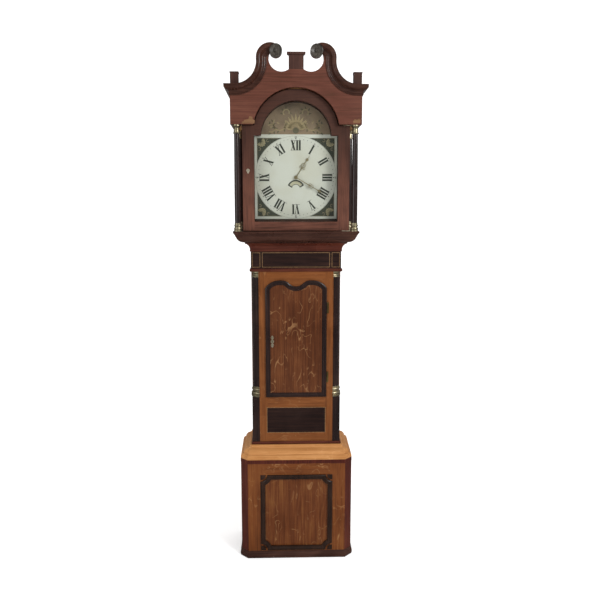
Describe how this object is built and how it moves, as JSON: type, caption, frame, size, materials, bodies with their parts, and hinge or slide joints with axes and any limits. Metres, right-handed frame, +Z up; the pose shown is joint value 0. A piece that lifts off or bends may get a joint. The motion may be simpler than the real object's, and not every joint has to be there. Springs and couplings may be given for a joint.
{
  "type": "longcase clock",
  "caption": "Oak and mahogany longcase clock with an arched painted dial, swan-neck hood, columns, shaped trunk door and panelled base.",
  "frame": {"origin": "middle of the footprint, on the floor", "axes": "+X to the right of someone facing the dial, +Y towards the wall behind, +Z up"},
  "size_m": [0.5834, 0.285, 2.218],
  "materials": {
    "oak": "satin",
    "oak_dark": "satin",
    "oak_light": "satin",
    "mahogany": "satin",
    "mahogany_dark": "satin",
    "black_inlay": "satin",
    "pale_inlay": "satin",
    "backing_wood": "matte",
    "brass": "worn",
    "steel": "worn",
    "lead": "matte",
    "glass": "clear",
    "dial_paint": "satin",
    "rope": "matte"
  },
  "bodies": {
    "case": {"plinth": "mahogany_dark", "base_floor": "backing_wood", "base_sides": "oak", "base_banding": "black_inlay", "base_front_frame": "oak", "base_panel": "oak_dark", "base_panel_moulding": "black_inlay", "shoulder_moulding": "oak_light", "trunk_mouldings": "mahogany", "backboard": "backing_wood", "trunk_sides": "oak", "trunk_front_frame": "oak", "trunk_inlay_panel": "black_inlay", "trunk_frieze": "mahogany_dark", "stringing": "pale_inlay", "quarter_columns": "mahogany_dark", "quarter_column_brasses": "brass", "seatboard": "backing_wood", "case_hinge_leaves": "brass", "movement_frame": "brass", "dial": "dial_paint", "bell": "brass", "rope_weight_side": "rope", "rope_ring_side": "rope"},
    "trunk_door": {"trunk_door_board": "oak_dark", "trunk_door_moulding": "mahogany_dark", "door_hinge_leaves": "brass", "trunk_door_lock": "brass"},
    "lock_bolt": {"trunk_lock_bolt": "steel"},
    "hood": {"hood_sides": "mahogany", "hood_front": "mahogany", "hood_side_friezes": "mahogany", "hood_top_boards": "backing_wood", "hood_cornice": "mahogany", "finial_blocks": "mahogany", "rosettes": "mahogany_dark", "hood_columns": "mahogany_dark", "hood_column_brasses": "brass", "hood_base_moulding": "mahogany", "dial_mask": "mahogany_dark"},
    "hood_door": {"hood_door_frame": "mahogany", "hood_door_glass": "glass", "hood_door_brasses": "brass"},
    "great": {"going_great_wheel": "brass"},
    "second": {"going_second_wheel": "brass"},
    "escape": {"escape_wheel": "brass"},
    "anchor_body": {"anchor": "steel"},
    "pendulum": {"pendulum_rod": "steel", "pendulum_bob": "brass"},
    "minute": {"minute_hand": "brass"},
    "motion": {"minute_wheel": "brass"},
    "hour": {"hour_hand": "brass"},
    "date": {"date_disc": "dial_paint"},
    "strike_great": {"strike_great_wheel": "brass"},
    "strike_second": {"strike_second_wheel": "brass"},
    "strike_fly": {"fly": "brass"},
    "hammer_body": {"hammer": "steel"},
    "drive_weight": {"weight": "lead"},
    "drive_pulley": {"weight_pulley": "brass"},
    "slack_ring": {"ring_weight": "lead"}
  },
  "joints": [
    {"name": "trunk_door_hinge", "type": "hinge", "parent": "case", "child": "trunk_door", "pos_m": [0.1366, -0.0587, 0.982], "axis": [0, 0, 1], "range_deg": [0, 110]},
    {"name": "lock_bolt_slide", "type": "slide", "parent": "trunk_door", "child": "lock_bolt", "axis": [-1, 0, 0], "range_m": [0, 0.006]},
    {"name": "hood_slide", "type": "slide", "parent": "case", "child": "hood", "axis": [0, -1, 0], "range_m": [0, 0.3]},
    {"name": "hood_door_hinge", "type": "hinge", "parent": "hood", "child": "hood_door", "pos_m": [0.2245, -0.1035, 1.69], "axis": [0, 0, 1], "range_deg": [0, 95]},
    {"name": "great_wheel_spin", "type": "hinge", "parent": "case", "child": "great", "pos_m": [0.034, 0.0265, 1.67299], "axis": [0, 1, 0], "continuous": true},
    {"name": "second_wheel_spin", "type": "hinge", "parent": "case", "child": "second", "pos_m": [0.02811, 0.0265, 1.72093], "axis": [0, 1, 0], "continuous": true},
    {"name": "escape_wheel_spin", "type": "hinge", "parent": "case", "child": "escape", "pos_m": [0, 0.0265, 1.74195], "axis": [0, 1, 0], "continuous": true},
    {"name": "pendulum_swing", "type": "hinge", "parent": "case", "child": "pendulum", "pos_m": [0, 0.0705, 1.77295], "axis": [0, 1, 0], "range_deg": [-3, 3]},
    {"name": "anchor_rock", "type": "hinge", "parent": "case", "child": "anchor_body", "pos_m": [0, 0.0265, 1.77295], "axis": [0, 1, 0], "range_deg": [-3, 3]},
    {"name": "minute_hand_turn", "type": "hinge", "parent": "case", "child": "minute", "pos_m": [0, -0.0135, 1.695], "axis": [0, 1, 0], "continuous": true},
    {"name": "motion_wheel_turn", "type": "hinge", "parent": "case", "child": "motion", "pos_m": [-0.03172, -0.0135, 1.70654], "axis": [0, 1, 0], "continuous": true},
    {"name": "hour_hand_turn", "type": "hinge", "parent": "case", "child": "hour", "pos_m": [0, -0.0195, 1.695], "axis": [0, 1, 0], "continuous": true},
    {"name": "date_turn", "type": "hinge", "parent": "case", "child": "date", "pos_m": [0, -0.0325, 1.648], "axis": [0, 1, 0], "continuous": true},
    {"name": "strike_wheel_spin", "type": "hinge", "parent": "case", "child": "strike_great", "pos_m": [-0.034, 0.0265, 1.67299], "axis": [0, 1, 0], "continuous": true},
    {"name": "strike_second_spin", "type": "hinge", "parent": "case", "child": "strike_second", "pos_m": [-0.02811, 0.0265, 1.72093], "axis": [0, 1, 0], "continuous": true},
    {"name": "fly_spin", "type": "hinge", "parent": "case", "child": "strike_fly", "pos_m": [-0.0464, 0.0265, 1.74434], "axis": [0, 1, 0], "continuous": true},
    {"name": "hammer_lift", "type": "hinge", "parent": "case", "child": "hammer_body", "pos_m": [-0.062, 0.0245, 1.72799], "axis": [0, -1, 0], "range_deg": [0, 12]},
    {"name": "weight_drop", "type": "slide", "parent": "case", "child": "drive_weight", "axis": [0, 0, -1], "range_m": [0, 1.15], "deforming": ["rope_weight_side"]},
    {"name": "weight_pulley_turn", "type": "hinge", "parent": "drive_weight", "child": "drive_pulley", "pos_m": [0, 0.0265, 1.445], "axis": [0, 1, 0], "continuous": true},
    {"name": "ring_rise", "type": "slide", "parent": "case", "child": "slack_ring", "axis": [0, 0, 1], "range_m": [0, 1.15], "deforming": ["rope_ring_side"]}
  ],
  "couplings": [
    {"joint": "second_wheel_spin", "follows": "great_wheel_spin", "ratio": -13},
    {"joint": "escape_wheel_spin", "follows": "great_wheel_spin", "ratio": 156},
    {"joint": "minute_hand_turn", "follows": "great_wheel_spin", "ratio": -2.6},
    {"joint": "motion_wheel_turn", "follows": "great_wheel_spin", "ratio": 1.3},
    {"joint": "hour_hand_turn", "follows": "great_wheel_spin", "ratio": -0.21667},
    {"joint": "date_turn", "follows": "great_wheel_spin", "ratio": -0.0034946},
    {"joint": "anchor_rock", "follows": "pendulum_swing", "ratio": 1},
    {"joint": "strike_second_spin", "follows": "strike_wheel_spin", "ratio": -13},
    {"joint": "fly_spin", "follows": "strike_wheel_spin", "ratio": 130},
    {"joint": "weight_pulley_turn", "follows": "weight_drop", "rad_per_m": 58.824},
    {"joint": "ring_rise", "follows": "weight_drop", "ratio": 1}
  ]
}
